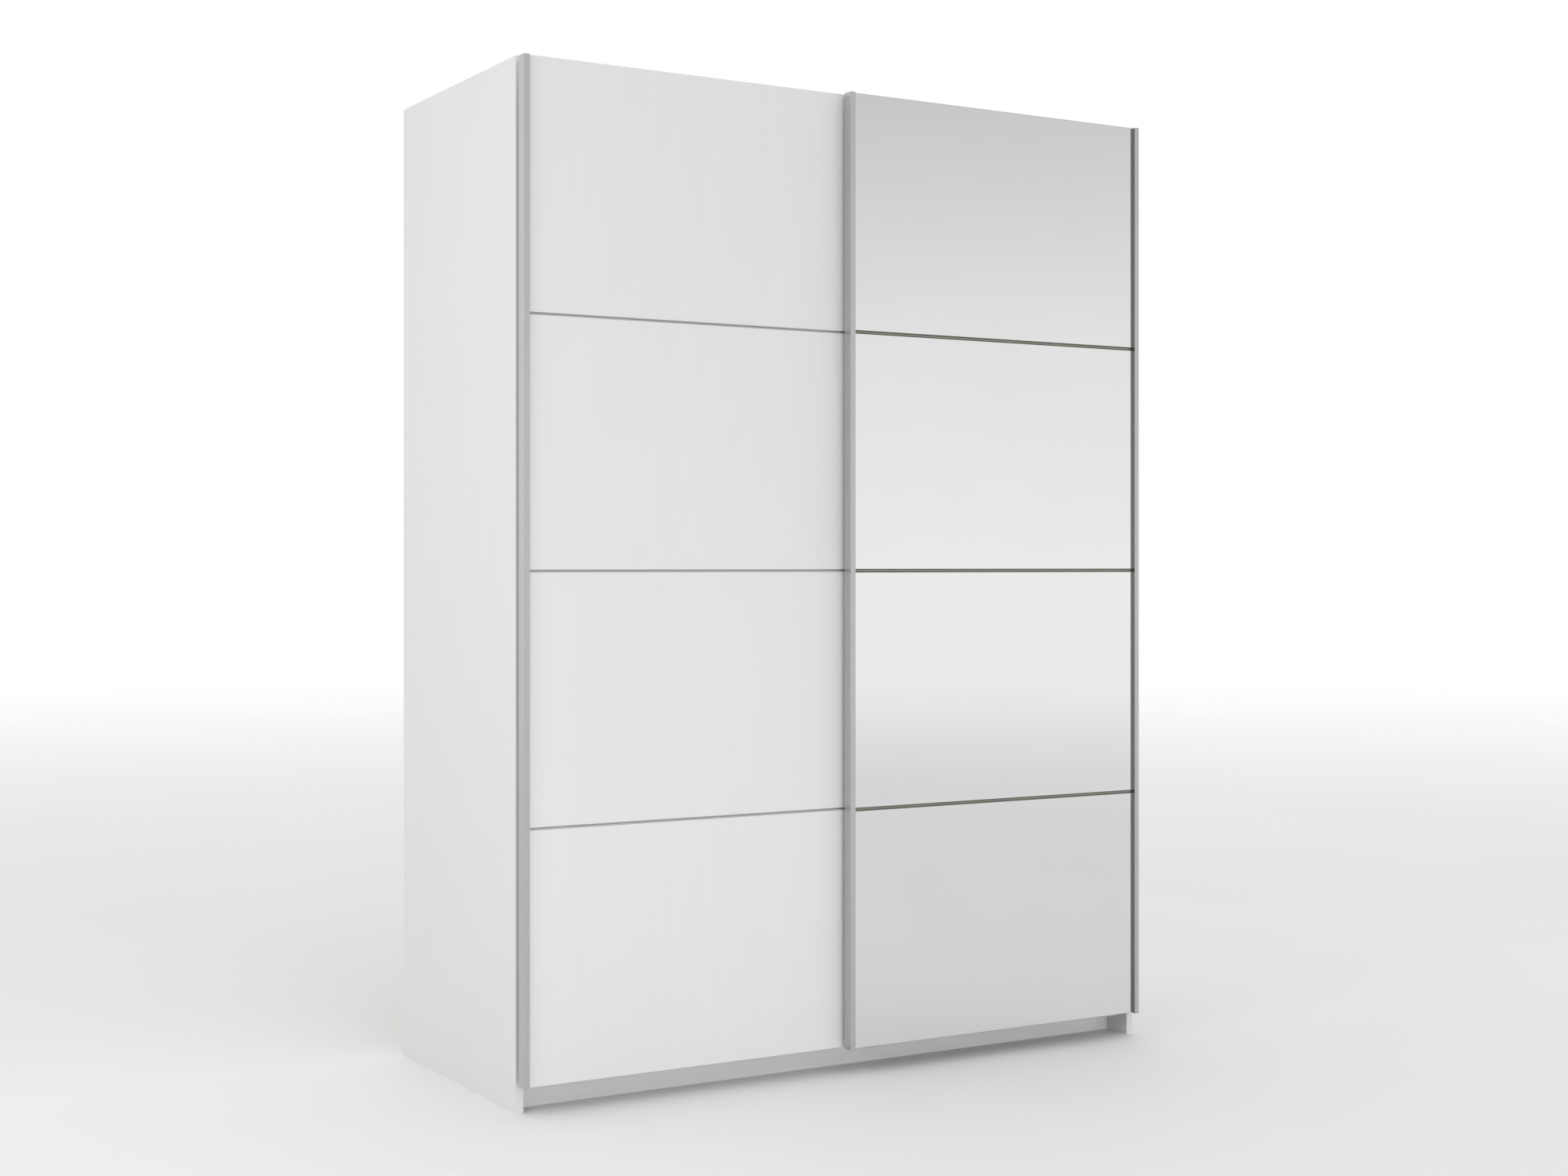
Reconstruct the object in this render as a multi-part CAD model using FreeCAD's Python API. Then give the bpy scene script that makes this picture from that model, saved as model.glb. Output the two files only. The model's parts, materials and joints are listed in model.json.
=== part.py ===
"""Two-door sliding wardrobe: board carcass, one plain door and one mirror door on top-running rollers.

Millimetres. +Z is up, the doors face -Y and +X is to the right of someone facing them. The origin is
on the floor, in the middle of the overall width and depth. The plain left door runs in the rear lane,
and the mirror door on the right runs in the front lane and overlaps it.
"""
import FreeCAD, Part
import os

# Overall size
width = 1500.0
height = 2040.0
depth = 664.0
board = 16.0
left_side_depth = 597.0
right_side_lead = 24.0      # the right side panel reaches this much further forward
back_y = depth / 2
front_y = back_y - left_side_depth
inner_x = width / 2 - board
fit_gap = 0.05              # between a fastener and its hole, all round

# Carcass
plinth_height = 72.0
plinth_setback = 44.5
plinth_z = (0.0, plinth_height)
bottom_z = (plinth_height, plinth_height + board)
top_drop = 80.0             # from the top of the side panels down to the top panel
top_z = (height - top_drop - board, height - top_drop)
back_recess = 7.0           # from the side panels' rear edges in to the back panels
panel_rear_y = back_y - back_recess
partition_setback = 2.0
partition_back_gap = 1.5    # clears the back's joint strip
partition_x = (-board / 2, board / 2)
partition_y = (front_y + partition_setback, panel_rear_y - partition_back_gap)
partition_z = (bottom_z[1], top_z[0])
front_plinth_y = (front_y + plinth_setback, front_y + plinth_setback + board)
rear_plinth_inset = 20.0
rear_plinth_y = (panel_rear_y - rear_plinth_inset - board, panel_rear_y - rear_plinth_inset)

# Back
back_thickness = 3.0
back_edge_inset = 2.0       # from the outer faces of the top and bottom panels
back_panel_y = (panel_rear_y, panel_rear_y + back_thickness)
back_panel_z = (bottom_z[0] + back_edge_inset, top_z[1] - back_edge_inset)
groove_depth = 6.0
groove_gap = 0.2
back_edge_gap = 1.5         # from a back panel to the middle of its joint strip
strip_flange = 10.0
strip_skin = 1.1

# Inside fittings
shelf_underside_z = 1630.0
shelf_z = (shelf_underside_z, shelf_underside_z + board)
shelf_front_y = -190.0
shelf_side_gap = 0.5
shelf_pin_ys = (-150.0, 280.0)
shelf_pin_radius = 2.5
shelf_pin_depth = 7.0
shelf_pin_reach = 8.0
clothes_rail_y = 60.0
clothes_rail_z = 1560.0
clothes_rail_size = (15.0, 30.0)
clothes_rail_wall = 1.2
socket_plate = 3.0
socket_plate_size = (26.0, 52.0)
socket_collar_size = (20.0, 35.0)
socket_collar_length = 13.0
socket_peg_offset = 20.0
socket_pocket_gap = 0.1

# Knock-down fittings
cam_ys = (-190.0, 220.0)
dowel_ys = (-120.0, 150.0)
cam_reach = 34.0
cam_radius = 7.5
cam_depth = 12.5
cam_slot = (5.0, 1.4, 2.0)
cam_bolt_radius = 2.5
cam_bolt_head_radius = 3.3
cam_bolt_head_length = 3.0
cam_bolt_grip = 10.5
dowel_radius = 4.0
dowel_short_end = 10.0
dowel_long_end = 20.0
dowel_chamfer = 0.8
plinth_dowel_xs = (-350.0, 350.0)

# Doors
door_width = 763.0
door_travel = 718.0
door_z = (54.5, 2036.5)
door_board_z = (56.0, 2036.5)
door_pitch = 27.0           # between the front faces of the two doors
mirror_face_y = -depth / 2
plain_face_y = mirror_face_y + door_pitch
plain_door_x = (-width / 2, -width / 2 + door_width)
mirror_door_x = (inner_x - door_width, inner_x)
pane_count = 4
mirror_thickness = 4.0
mirror_gap = 6.6

# Handle profiles on the doors' upright edges
profile_wall = 1.5
profile_face = 12.0
profile_recess = 7.5
profile_chamber_wall = 1.2
profile_lip = 10.0
profile_depth = profile_recess + board + profile_wall
profile_edge_radius = 0.8
cap_thickness = 1.5
cap_plug_length = 8.0
cap_plug_gap = 0.1

# Trim strips across the doors
shadow_groove_height = 5.6
shadow_groove_depth = 3.0
plain_strip_height = 2.6    # the plain door's strips fill the upper part of their grooves
strip_proud = 1.2
strip_sunk = 0.9            # how far the mirror door's strips lie behind the glass face
strip_glass_gap = 0.7
strip_tongue = (5.0, 2.0)
strip_crown = 0.9           # how far the middle of a strip's front bulges

# Running gear
lane_gap = 26.0
plain_lane_y = -247.0
mirror_lane_y = plain_lane_y + lane_gap
rail_end_gap = 0.5
rail_x = (-inner_x + rail_end_gap, inner_x - rail_end_gap)
rail_y = (-262.0, -205.0)
rail_base = 3.0
rib_thickness = 3.0
rib_height = 15.0
rib_top_z = top_z[1] + rib_height
rib_round = 1.4
roller_radius = 13.0
roller_groove_radius = 11.0
roller_groove_width = 4.0
roller_width = 8.0
roller_bore_radius = 2.55
roller_eye_radius = 1.5
roller_eye_circle = 7.0
roller_eyes = 5
roller_lift = 0.3           # from the rib up to the roller's groove
roller_z = rib_top_z + roller_groove_radius + roller_lift
roller_inset = 90.0         # from the door's edge to the roller's centre
stop_length = 21.0
stop_half_width = 8.0
stop_height = 35.0
stop_gap = 1.0

# Roller hangers: a plate on the door's back, an arm over it and a leg down to the roller
sheet = 2.0
hanger_half_width = 30.0
leg_half_width = 18.0
leg_roller_gap = 2.0
leg_drop = 8.5              # from the roller's centre down to the leg's end
leg_bottom_z = roller_z - leg_drop
plain_arm_z = 2003.5
plain_plate_bottom_z = 1940.0
mirror_arm_z = 2039.2
mirror_plate_bottom_z = 1975.0
bend_radius = 2.5
axle_radius = 2.5
axle_shoulder_radius = 4.0
axle_head_radius = 4.5
axle_head = 1.4
axle_play = 0.3
hanger_screw_x = 20.0
hanger_screw_inset = 9.0
hanger_screw_pitch = 22.0

# Bottom guide
guide_y = (-262.0, -222.5)
guide_height = 14.0
guide_base = 2.0
guide_wall = 1.5
guide_half_slot = 3.5
guide_lanes = (-253.0, -232.0)
guide_bottom_z = bottom_z[0] - guide_height
foot_inset = 70.0
foot_half_width = 20.0
foot_plate_top_z = 96.0
foot_arm_overhang = 4.5
plain_foot_z = 54.5
mirror_foot_z = 50.0
foot_screw_x = 12.0
foot_screw_z = 82.0
pin_radius = 3.0
pin_flange_radius = 5.0
pin_flange = 1.2
pin_stem_radius = 2.4
pin_top_z = 68.0

# Screws
screw_head_radius = 3.8
screw_head_depth = 1.9
screw_shank_radius = 1.9
screw_slot = (2.2, 0.8, 1.1)
rail_screw_length = 15.0
short_screw_length = 13.5
door_screw_length = 11.0
back_screw_length = 15.0
back_screw_radius = 1.4
back_screw_head_radius = 3.0
back_screw_head = 1.2
rail_screw_xs = (-690.0, -460.0, -230.0, 0.0, 230.0, 460.0, 690.0)
back_screw_xs = (-650.0, -450.0, -250.0, -60.0, 60.0, 250.0, 450.0, 650.0)

# Wall brackets
wall_bracket_x = 550.0
wall_bracket_half_width = 20.0
wall_bracket_length = 45.0
wall_bracket_height = 40.0
wall_hole_radius = 2.75
wall_hole_lift = 25.0
wall_hole_z = top_z[1] + wall_hole_lift
wall_screw_inset = 32.0
wall_screw_y = back_y - wall_screw_inset
wall_screw_x = 10.0

right = FreeCAD.Vector(1, 0, 0)
rear = FreeCAD.Vector(0, 1, 0)
up = FreeCAD.Vector(0, 0, 1)


def block(x, y, z):
    """A box from its low and high limits along each axis."""
    corner = FreeCAD.Vector(min(x), min(y), min(z))
    return Part.makeBox(abs(x[1] - x[0]), abs(y[1] - y[0]), abs(z[1] - z[0]), corner)


def rod(radius, start, end):
    """A round rod between two points."""
    return Part.makeCylinder(radius, (end - start).Length, start, end - start)


def fused(solids):
    """Several touching solids as one."""
    return solids[0].multiFuse(solids[1:]).removeSplitter()


def rounded(solid, radius, is_chosen):
    """The solid with a round of that radius on each straight edge that is_chosen accepts."""
    chosen = [e for e in solid.Edges if is_chosen(e.Vertexes[0].Point, e.Vertexes[-1].Point)]
    return solid.makeFillet(radius, chosen)


def around(middle, half):
    """The limits that far to each side of a middle value."""
    return (middle - half, middle + half)


def close(a, b):
    return abs(a - b) < 1e-6


# ---------------------------------------------------------------- fasteners

def slot_cutters(top, into, size):
    """Two crossed bars for the driver recess of a screw or cam."""
    half_length, half_width, deep = size[0], size[1] / 2, size[2]
    side = up if close(abs(into.dot(up)), 0) else rear
    other = into.cross(side)
    bars = []
    for along, across in ((side, other), (other, side)):
        signs = ((1, 1), (1, -1), (-1, -1), (-1, 1), (1, 1))
        corners = [top + along * (half_length * a) + across * (half_width * b) for a, b in signs]
        bars.append(Part.Face(Part.makePolygon(corners)).extrude(into * deep))
    return bars


def countersunk_screw(top, into, length):
    """A countersunk screw with its head flush at top, and the hole that it needs."""
    head = Part.makeCone(screw_head_radius, screw_shank_radius, screw_head_depth, top, into)
    shank = rod(screw_shank_radius, top, top + into * length)
    screw = fused([head, shank]).cut(slot_cutters(top, into, screw_slot))
    wide = screw_head_radius + fit_gap
    narrow = screw_shank_radius + fit_gap
    sink = Part.makeCone(wide, narrow, screw_head_depth + fit_gap, top, into)
    bore = rod(narrow, top, top + into * (length + fit_gap))
    return screw, fused([sink, bore])


def back_screw(face, into):
    """A small pan-head screw whose head sits on face, and its hole."""
    head = rod(back_screw_head_radius, face - into * back_screw_head, face)
    shank = rod(back_screw_radius, face, face + into * back_screw_length)
    hole = rod(back_screw_radius + fit_gap, face, face + into * (back_screw_length + fit_gap))
    return fused([head, shank]), hole


def cam_fitting(face, inward, mouth):
    """A cam disc and its bolt, with the holes for them in the holding and the receiving board.

    face is where the bolt crosses the joint, inward points along it into the holding board, and mouth
    points out of the disc's hole.
    """
    centre = face + inward * cam_reach
    surface = centre + mouth * (board / 2)
    floor = surface - mouth * cam_depth
    bolt_end = face - inward * cam_bolt_grip
    neck = centre - inward * cam_bolt_head_length
    shank = rod(cam_bolt_radius, bolt_end, centre)
    head = rod(cam_bolt_head_radius, neck, centre)
    passage = rod(cam_bolt_head_radius + fit_gap, centre - inward * cam_reach, centre + inward * fit_gap)
    disc = rod(cam_radius, floor, surface).cut([passage] + slot_cutters(surface, mouth * -1, cam_slot))
    disc_hole = rod(cam_radius + fit_gap, floor - mouth * fit_gap, surface)
    bolt_hole = rod(cam_bolt_radius + fit_gap, bolt_end - inward * fit_gap, face)
    return disc, fused([shank, head]), disc_hole.fuse(passage), bolt_hole


def dowel(face, inward):
    """A wooden dowel across a joint, with its hole. The longer end points inward."""
    start = face - inward * dowel_short_end
    end = face + inward * dowel_long_end
    pin = rod(dowel_radius, start, end)
    pin = pin.makeChamfer(dowel_chamfer, [e for e in pin.Edges if isinstance(e.Curve, Part.Circle)])
    hole = rod(dowel_radius + fit_gap, start - inward * fit_gap, end + inward * fit_gap)
    return pin, hole


# ---------------------------------------------------------------- carcass

holes = {}
cams = []
cam_bolts = []
dowels = []
rail_screws = []
back_screws = []


def drill(name, cutter):
    """Notes a hole to be cut in the named board or plate."""
    holes.setdefault(name, []).append(cutter)


def join_with_cam(holder, receiver, face, inward, mouth):
    disc, bolt, disc_hole, bolt_hole = cam_fitting(face, inward, mouth)
    cams.append(disc)
    cam_bolts.append(bolt)
    drill(holder, disc_hole)
    drill(receiver, bolt_hole)


def join_with_dowel(holder, receiver, face, inward):
    pin, hole = dowel(face, inward)
    dowels.append(pin)
    drill(holder, hole)
    drill(receiver, hole)


def lay_out_carcass_joints():
    """Cams and dowels between the boards of the carcass."""
    sides = (("left_side_panel", -inner_x, right), ("right_side_panel", inner_x, right * -1))
    levels = (("top_panel", sum(top_z) / 2, up), ("bottom_panel", sum(bottom_z) / 2, up * -1))
    plinths = (("front_plinth", front_plinth_y, rear), ("rear_plinth", rear_plinth_y, rear * -1))
    for side, x, inward in sides:
        for panel, z, mouth in levels:
            for y in cam_ys:
                join_with_cam(panel, side, FreeCAD.Vector(x, y, z), inward, mouth)
            for y in dowel_ys:
                join_with_dowel(panel, side, FreeCAD.Vector(x, y, z), inward)
        for plinth, y_limits, mouth in plinths:
            face = FreeCAD.Vector(x, sum(y_limits) / 2, plinth_height / 2)
            join_with_cam(plinth, side, face, inward, mouth)
    for panel, z, inward in (("top_panel", top_z[0], up * -1), ("bottom_panel", bottom_z[1], up)):
        for y in cam_ys:
            join_with_cam("centre_partition", panel, FreeCAD.Vector(0, y, z), inward, right)
        for y in dowel_ys:
            join_with_dowel("centre_partition", panel, FreeCAD.Vector(0, y, z), inward)
    for plinth, y_limits, mouth in plinths:
        for x in plinth_dowel_xs:
            face = FreeCAD.Vector(x, sum(y_limits) / 2, plinth_height)
            join_with_dowel(plinth, "bottom_panel", face, up * -1)


def side_panel(x_limits, panel_front_y, groove_x):
    """A side panel with the groove for the back."""
    groove_y = (back_panel_y[0] - groove_gap, back_panel_y[1] + groove_gap)
    groove_z = (back_panel_z[0] - groove_gap, back_panel_z[1] + groove_gap)
    return block(x_limits, (panel_front_y, back_y), (0, height)).cut(block(groove_x, groove_y, groove_z))


def carcass_boards():
    inner_width = (-inner_x, inner_x)
    panel_y = (front_y, panel_rear_y)
    outer_x = width / 2
    return {
        "left_side_panel": side_panel((-outer_x, -inner_x), front_y, (-inner_x - groove_depth, -inner_x)),
        "right_side_panel": side_panel((inner_x, outer_x), front_y - right_side_lead,
                                       (inner_x, inner_x + groove_depth)),
        "top_panel": block(inner_width, panel_y, top_z),
        "bottom_panel": block(inner_width, panel_y, bottom_z),
        "centre_partition": block(partition_x, partition_y, partition_z),
        "front_plinth": block(inner_width, front_plinth_y, plinth_z),
        "rear_plinth": block(inner_width, rear_plinth_y, plinth_z),
    }


def back_parts():
    """Two thin back panels, and the strip that joins them behind the partition."""
    outer = inner_x + groove_depth - groove_gap
    flange_x = (-strip_flange, strip_flange)
    middle_z = (bottom_z[1] + fit_gap, top_z[0] - fit_gap)
    web = block(around(0, back_edge_gap - groove_gap), back_panel_y, middle_z)
    front_flange = block(flange_x, (back_panel_y[0] - strip_skin, back_panel_y[0]), middle_z)
    rear_flange = block(flange_x, (back_panel_y[1], back_panel_y[1] + strip_skin), middle_z)
    return {
        "left_back_panel": block((-outer, -back_edge_gap), back_panel_y, back_panel_z),
        "right_back_panel": block((back_edge_gap, outer), back_panel_y, back_panel_z),
        "back_joint_strip": fused([front_flange, web, rear_flange]),
    }


def lay_out_back_screws():
    for z, panel in ((sum(top_z) / 2, "top_panel"), (sum(bottom_z) / 2, "bottom_panel")):
        for x in back_screw_xs:
            screw, hole = back_screw(FreeCAD.Vector(x, back_panel_y[1], z), rear * -1)
            back_screws.append(screw)
            drill("left_back_panel" if x < 0 else "right_back_panel", hole)
            drill(panel, hole)


# ---------------------------------------------------------------- inside fittings

def compartments():
    """Name, outer and inner limit of each compartment, and the boards on its two sides."""
    left = ("left", -inner_x, partition_x[0], ("left_side_panel", "centre_partition"))
    other = ("right", partition_x[1], inner_x, ("centre_partition", "right_side_panel"))
    return (left, other)


def shelf_pin(wall_x, inward, y):
    """A pin whose top carries the shelf's underside, and its hole."""
    centre = FreeCAD.Vector(wall_x, y, shelf_z[0] - shelf_pin_radius)
    pin = rod(shelf_pin_radius, centre - inward * shelf_pin_depth, centre + inward * shelf_pin_reach)
    bottom = centre - inward * (shelf_pin_depth + fit_gap)
    return pin, rod(shelf_pin_radius + fit_gap, bottom, centre)


def oval_bar(size, x_limits):
    """A bar along X with an upright oval section, centred on the clothes rail's line."""
    radius = size[0] / 2
    half_flat = size[1] / 2 - radius
    flat = block(x_limits, around(clothes_rail_y, radius), around(clothes_rail_z, half_flat))
    ends = []
    for z in around(clothes_rail_z, half_flat):
        start = FreeCAD.Vector(min(x_limits), clothes_rail_y, z)
        ends.append(rod(radius, start, start + right * abs(x_limits[1] - x_limits[0])))
    return fused([flat] + ends)


def clothes_rail(x_limits):
    hollow = [size - 2 * clothes_rail_wall for size in clothes_rail_size]
    return oval_bar(clothes_rail_size, x_limits).cut(oval_bar(hollow, x_limits))


def rail_socket(wall_x, inward):
    """A cup that holds one end of the clothes rail, and the holes for its pegs."""
    step = inward.x
    plate = oval_bar(socket_plate_size, (wall_x, wall_x + step * socket_plate))
    collar = oval_bar(socket_collar_size, (wall_x, wall_x + step * socket_collar_length))
    pocket_size = [size + 2 * socket_pocket_gap for size in clothes_rail_size]
    pocket = oval_bar(pocket_size, (wall_x + step * socket_plate, wall_x + step * socket_collar_length))
    pegs = []
    for z in around(clothes_rail_z, socket_peg_offset):
        root = FreeCAD.Vector(wall_x, clothes_rail_y, z)
        pegs.append(rod(shelf_pin_radius, root - inward * shelf_pin_depth, root))
    peg_holes = [rod(shelf_pin_radius + fit_gap, p.CenterOfMass - inward * (shelf_pin_depth / 2 + fit_gap),
                     p.CenterOfMass + inward * (shelf_pin_depth / 2)) for p in pegs]
    return fused([plate, collar] + pegs).cut(pocket), peg_holes


def inside_fittings():
    """Hat shelves, clothes rails and what holds them, for both compartments."""
    parts = {}
    pins = []
    sockets = []
    rails = []
    for name, low_x, high_x, walls in compartments():
        shelf_x = (low_x + shelf_side_gap, high_x - shelf_side_gap)
        parts[f"{name}_hat_shelf"] = block(shelf_x, (shelf_front_y, partition_y[1]), shelf_z)
        rail_end = socket_plate + shelf_side_gap
        rails.append(clothes_rail((low_x + rail_end, high_x - rail_end)))
        for wall, wall_x, inward in ((walls[0], low_x, right), (walls[1], high_x, right * -1)):
            for y in shelf_pin_ys:
                pin, hole = shelf_pin(wall_x, inward, y)
                pins.append(pin)
                drill(wall, hole)
            socket, peg_holes = rail_socket(wall_x, inward)
            sockets.append(socket)
            for hole in peg_holes:
                drill(wall, hole)
    parts["clothes_rails"] = Part.makeCompound(rails)
    parts["shelf_pins"] = Part.makeCompound(pins)
    parts["clothes_rail_sockets"] = Part.makeCompound(sockets)
    return parts


# ---------------------------------------------------------------- fixed running gear

def running_rail():
    """Double-lane rail on the top panel: a base with one upright rib for each door."""
    base = block(rail_x, rail_y, (top_z[1], top_z[1] + rail_base))
    solids = [base]
    for lane in (plain_lane_y, mirror_lane_y):
        rib = block(rail_x, around(lane, rib_thickness / 2), (top_z[1] + rail_base, rib_top_z))
        solids.append(rounded(rib, rib_round, lambda a, b: close(a.z, rib_top_z) and close(b.z, rib_top_z)
                              and close(a.y, b.y)))
    for x in rail_screw_xs:
        top = FreeCAD.Vector(x, (plain_lane_y + mirror_lane_y) / 2, top_z[1] + rail_base)
        screw, hole = countersunk_screw(top, up * -1, rail_screw_length)
        rail_screws.append(screw)
        drill("top_running_rail", hole)
        drill("top_panel", hole)
    return fused(solids)


def guide_rail():
    """Rail under the bottom panel, with one downward channel for each door's guide pins."""
    solids = [block(rail_x, guide_y, (bottom_z[0] - guide_base, bottom_z[0]))]
    for lane in guide_lanes:
        for side in (-1, 1):
            inside = lane + side * guide_half_slot
            solids.append(block(rail_x, (inside, inside + side * guide_wall),
                                (guide_bottom_z, bottom_z[0] - guide_base)))
    for x in rail_screw_xs:
        top = FreeCAD.Vector(x, sum(guide_lanes) / 2, bottom_z[0] - guide_base)
        screw, hole = countersunk_screw(top, up, short_screw_length)
        rail_screws.append(screw)
        drill("bottom_guide_rail", hole)
        drill("bottom_panel", hole)
    return fused(solids)


def roller_centres(door_x):
    return (door_x[0] + roller_inset, door_x[1] - roller_inset)


def rail_stop(low_x, lane):
    """A rubber block pushed over the lane's rib."""
    body = block((low_x, low_x + stop_length), around(lane, stop_half_width),
                 (top_z[1] + rail_base + fit_gap, top_z[1] + stop_height))
    slot = block((low_x, low_x + stop_length), around(lane, rib_thickness / 2 + fit_gap),
                 (top_z[1], rib_top_z + fit_gap))
    return body.cut(slot)


def rail_stops():
    """Stops that the hanger legs meet at both ends of each door's travel."""
    stops = []
    for door_x, lane, travel in ((plain_door_x, plain_lane_y, (0, door_travel)),
                                 (mirror_door_x, mirror_lane_y, (-door_travel, 0))):
        first, last = roller_centres(door_x)
        left_contact = first + travel[0] - leg_half_width - stop_gap
        right_contact = last + travel[1] + leg_half_width + stop_gap
        stops.append(rail_stop(left_contact - stop_length, lane))
        stops.append(rail_stop(right_contact, lane))
    return Part.makeCompound(stops)


def wall_bracket(middle_x):
    """An angle on the top panel whose upright leg is screwed to the wall."""
    x_limits = around(middle_x, wall_bracket_half_width)
    foot = block(x_limits, (back_y - wall_bracket_length, back_y), (top_z[1], top_z[1] + sheet))
    leg = block(x_limits, (back_y - sheet, back_y), (top_z[1], top_z[1] + wall_bracket_height))
    centre = FreeCAD.Vector(middle_x, back_y - sheet, wall_hole_z)
    angle = fused([foot, leg]).cut(rod(wall_hole_radius, centre, centre + rear * sheet))
    corner_z = top_z[1] + wall_bracket_height
    angle = rounded(angle, wall_bracket_half_width / 2,
                    lambda a, b: close(a.z, corner_z) and close(b.z, corner_z) and not close(a.y, b.y))
    for x in around(middle_x, wall_screw_x):
        top = FreeCAD.Vector(x, wall_screw_y, top_z[1] + sheet)
        screw, hole = countersunk_screw(top, up * -1, short_screw_length)
        rail_screws.append(screw)
        angle = angle.cut(hole)
        drill("top_panel", hole)
    return angle


# ---------------------------------------------------------------- doors

def strip_levels():
    """Heights of the three trim strips, which part a door into equal panes."""
    low, high = door_board_z
    return [low + (high - low) * k / pane_count for k in range(1, pane_count)]


def profile_limits(edge_x, inward, near, far):
    return (edge_x + inward * near, edge_x + inward * far)


def round_front(solid, face_y):
    """The two upright front edges, slightly rounded."""
    return rounded(solid, profile_edge_radius,
                   lambda a, b: close(a.y, face_y) and close(b.y, face_y) and close(a.x, b.x))


def handle_profile(edge_x, inward, face_y):
    """Aluminium profile that wraps a door's upright edge and stands proud of its face."""
    z_limits = (door_z[0] + cap_thickness, door_z[1] - cap_thickness)
    chamber_y = (face_y, face_y + profile_recess)
    chamber = round_front(block(profile_limits(edge_x, inward, 0, profile_face), chamber_y, z_limits), face_y)
    hollow = block(profile_limits(edge_x, inward, profile_wall, profile_face - profile_chamber_wall),
                   (chamber_y[0] + profile_chamber_wall, chamber_y[1] - profile_chamber_wall), z_limits)
    wall = block(profile_limits(edge_x, inward, 0, profile_wall),
                 (chamber_y[1], face_y + profile_depth), z_limits)
    lip = block(profile_limits(edge_x, inward, profile_wall, profile_lip),
                (face_y + profile_depth - profile_wall, face_y + profile_depth), z_limits)
    return fused([chamber.cut(hollow), wall, lip])


def profile_cap(edge_x, inward, face_y, outer_z, inner_z):
    """Plastic cap on one end of a handle profile, with a plug in its chamber."""
    toward = 1 if inner_z > outer_z else -1
    chamber_y = (face_y, face_y + profile_recess)
    plate = block(profile_limits(edge_x, inward, 0, profile_face), chamber_y, (outer_z, inner_z))
    edge = block(profile_limits(edge_x, inward, 0, profile_wall),
                 (chamber_y[1], face_y + profile_depth), (outer_z, inner_z))
    inset = profile_chamber_wall + cap_plug_gap
    plug = block(profile_limits(edge_x, inward, profile_wall + cap_plug_gap, profile_face - inset),
                 (chamber_y[0] + inset, chamber_y[1] - inset),
                 (inner_z, inner_z + toward * cap_plug_length))
    return fused([round_front(plate, face_y), edge, plug])


def profile_edges(door_x):
    """Edge position and inward direction of a door's two profiles."""
    return ((door_x[0], 1), (door_x[1], -1))


def profile_caps(door_x, face_y):
    caps = []
    bottom = (door_z[0], door_z[0] + cap_thickness)
    top = (door_z[1], door_z[1] - cap_thickness)
    for edge_x, inward in profile_edges(door_x):
        for outer_z, inner_z in (bottom, top):
            caps.append(profile_cap(edge_x, inward, face_y, outer_z, inner_z))
    return Part.makeCompound(caps)


def trim_strip(door_x, z, front_y, seat_y, face_height):
    """A bar with a domed front, and a tongue that fits a groove in the board behind seat_y."""
    x_limits = (door_x[0] + profile_face, door_x[1] - profile_face)
    half = face_height / 2
    low_front = FreeCAD.Vector(x_limits[0], front_y + strip_crown, z - half)
    top_front = FreeCAD.Vector(x_limits[0], front_y + strip_crown, z + half)
    top_back = FreeCAD.Vector(x_limits[0], seat_y, z + half)
    low_back = FreeCAD.Vector(x_limits[0], seat_y, z - half)
    crown = Part.Arc(low_front, FreeCAD.Vector(x_limits[0], front_y, z), top_front).toShape()
    rest = Part.makePolygon([top_front, top_back, low_back, low_front])
    bar = Part.Face(Part.Wire([crown] + rest.Edges)).extrude(right * (x_limits[1] - x_limits[0]))
    return fused([bar, strip_tongue_block(x_limits, z, seat_y, 0)])


def strip_tongue_block(x_limits, z, seat_y, gap):
    half = strip_tongue[1] / 2 + gap
    return block(x_limits, (seat_y, seat_y + strip_tongue[0] + gap), around(z, half))


def door_board(door_x, y_limits, seat_y, strip_lift):
    """The door's board, grooved for the strips, and for their shadow lines where they seat below its face."""
    x_limits = (door_x[0] + profile_wall, door_x[1] - profile_wall)
    grooves = [strip_tongue_block(x_limits, z + strip_lift, seat_y, fit_gap) for z in strip_levels()]
    if seat_y > y_limits[0]:
        half = shadow_groove_height / 2
        grooves += [block(x_limits, (y_limits[0], seat_y), around(z, half)) for z in strip_levels()]
    return block(x_limits, y_limits, door_board_z).cut(grooves)


def mirror_panes(door_x, y_limits):
    """The mirror panes from the bottom up, with a gap at each strip."""
    x_limits = (door_x[0] + profile_wall, door_x[1] - profile_wall)
    lows = [door_board_z[0]] + [z + mirror_gap / 2 for z in strip_levels()]
    highs = [z - mirror_gap / 2 for z in strip_levels()] + [door_board_z[1]]
    return [block(x_limits, y_limits, limits) for limits in zip(lows, highs)]


# ---------------------------------------------------------------- door hardware

def hanger(middle_x, plate_y, plate_bottom_z, arm_top_z, lane):
    """A bent steel hanger: plate on the door's back, arm, and leg beside the roller."""
    leg_y = lane - roller_width / 2 - leg_roller_gap
    x_limits = around(middle_x, hanger_half_width)
    plate = block(x_limits, (plate_y, plate_y + sheet), (plate_bottom_z, arm_top_z))
    arm = block(x_limits, (plate_y, leg_y), (arm_top_z - sheet, arm_top_z))
    leg = block(around(middle_x, leg_half_width), (leg_y - sheet, leg_y), (leg_bottom_z, arm_top_z))
    bent = fused([plate, arm, leg])
    bent = rounded(bent, bend_radius, lambda a, b: close(a.z, arm_top_z) and close(b.z, arm_top_z)
                   and close(a.y, b.y) and close(a.y, plate_y))
    centre = FreeCAD.Vector(middle_x, leg_y, roller_z)
    return bent.cut(rod(axle_radius + fit_gap, centre - rear * sheet, centre))


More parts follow.
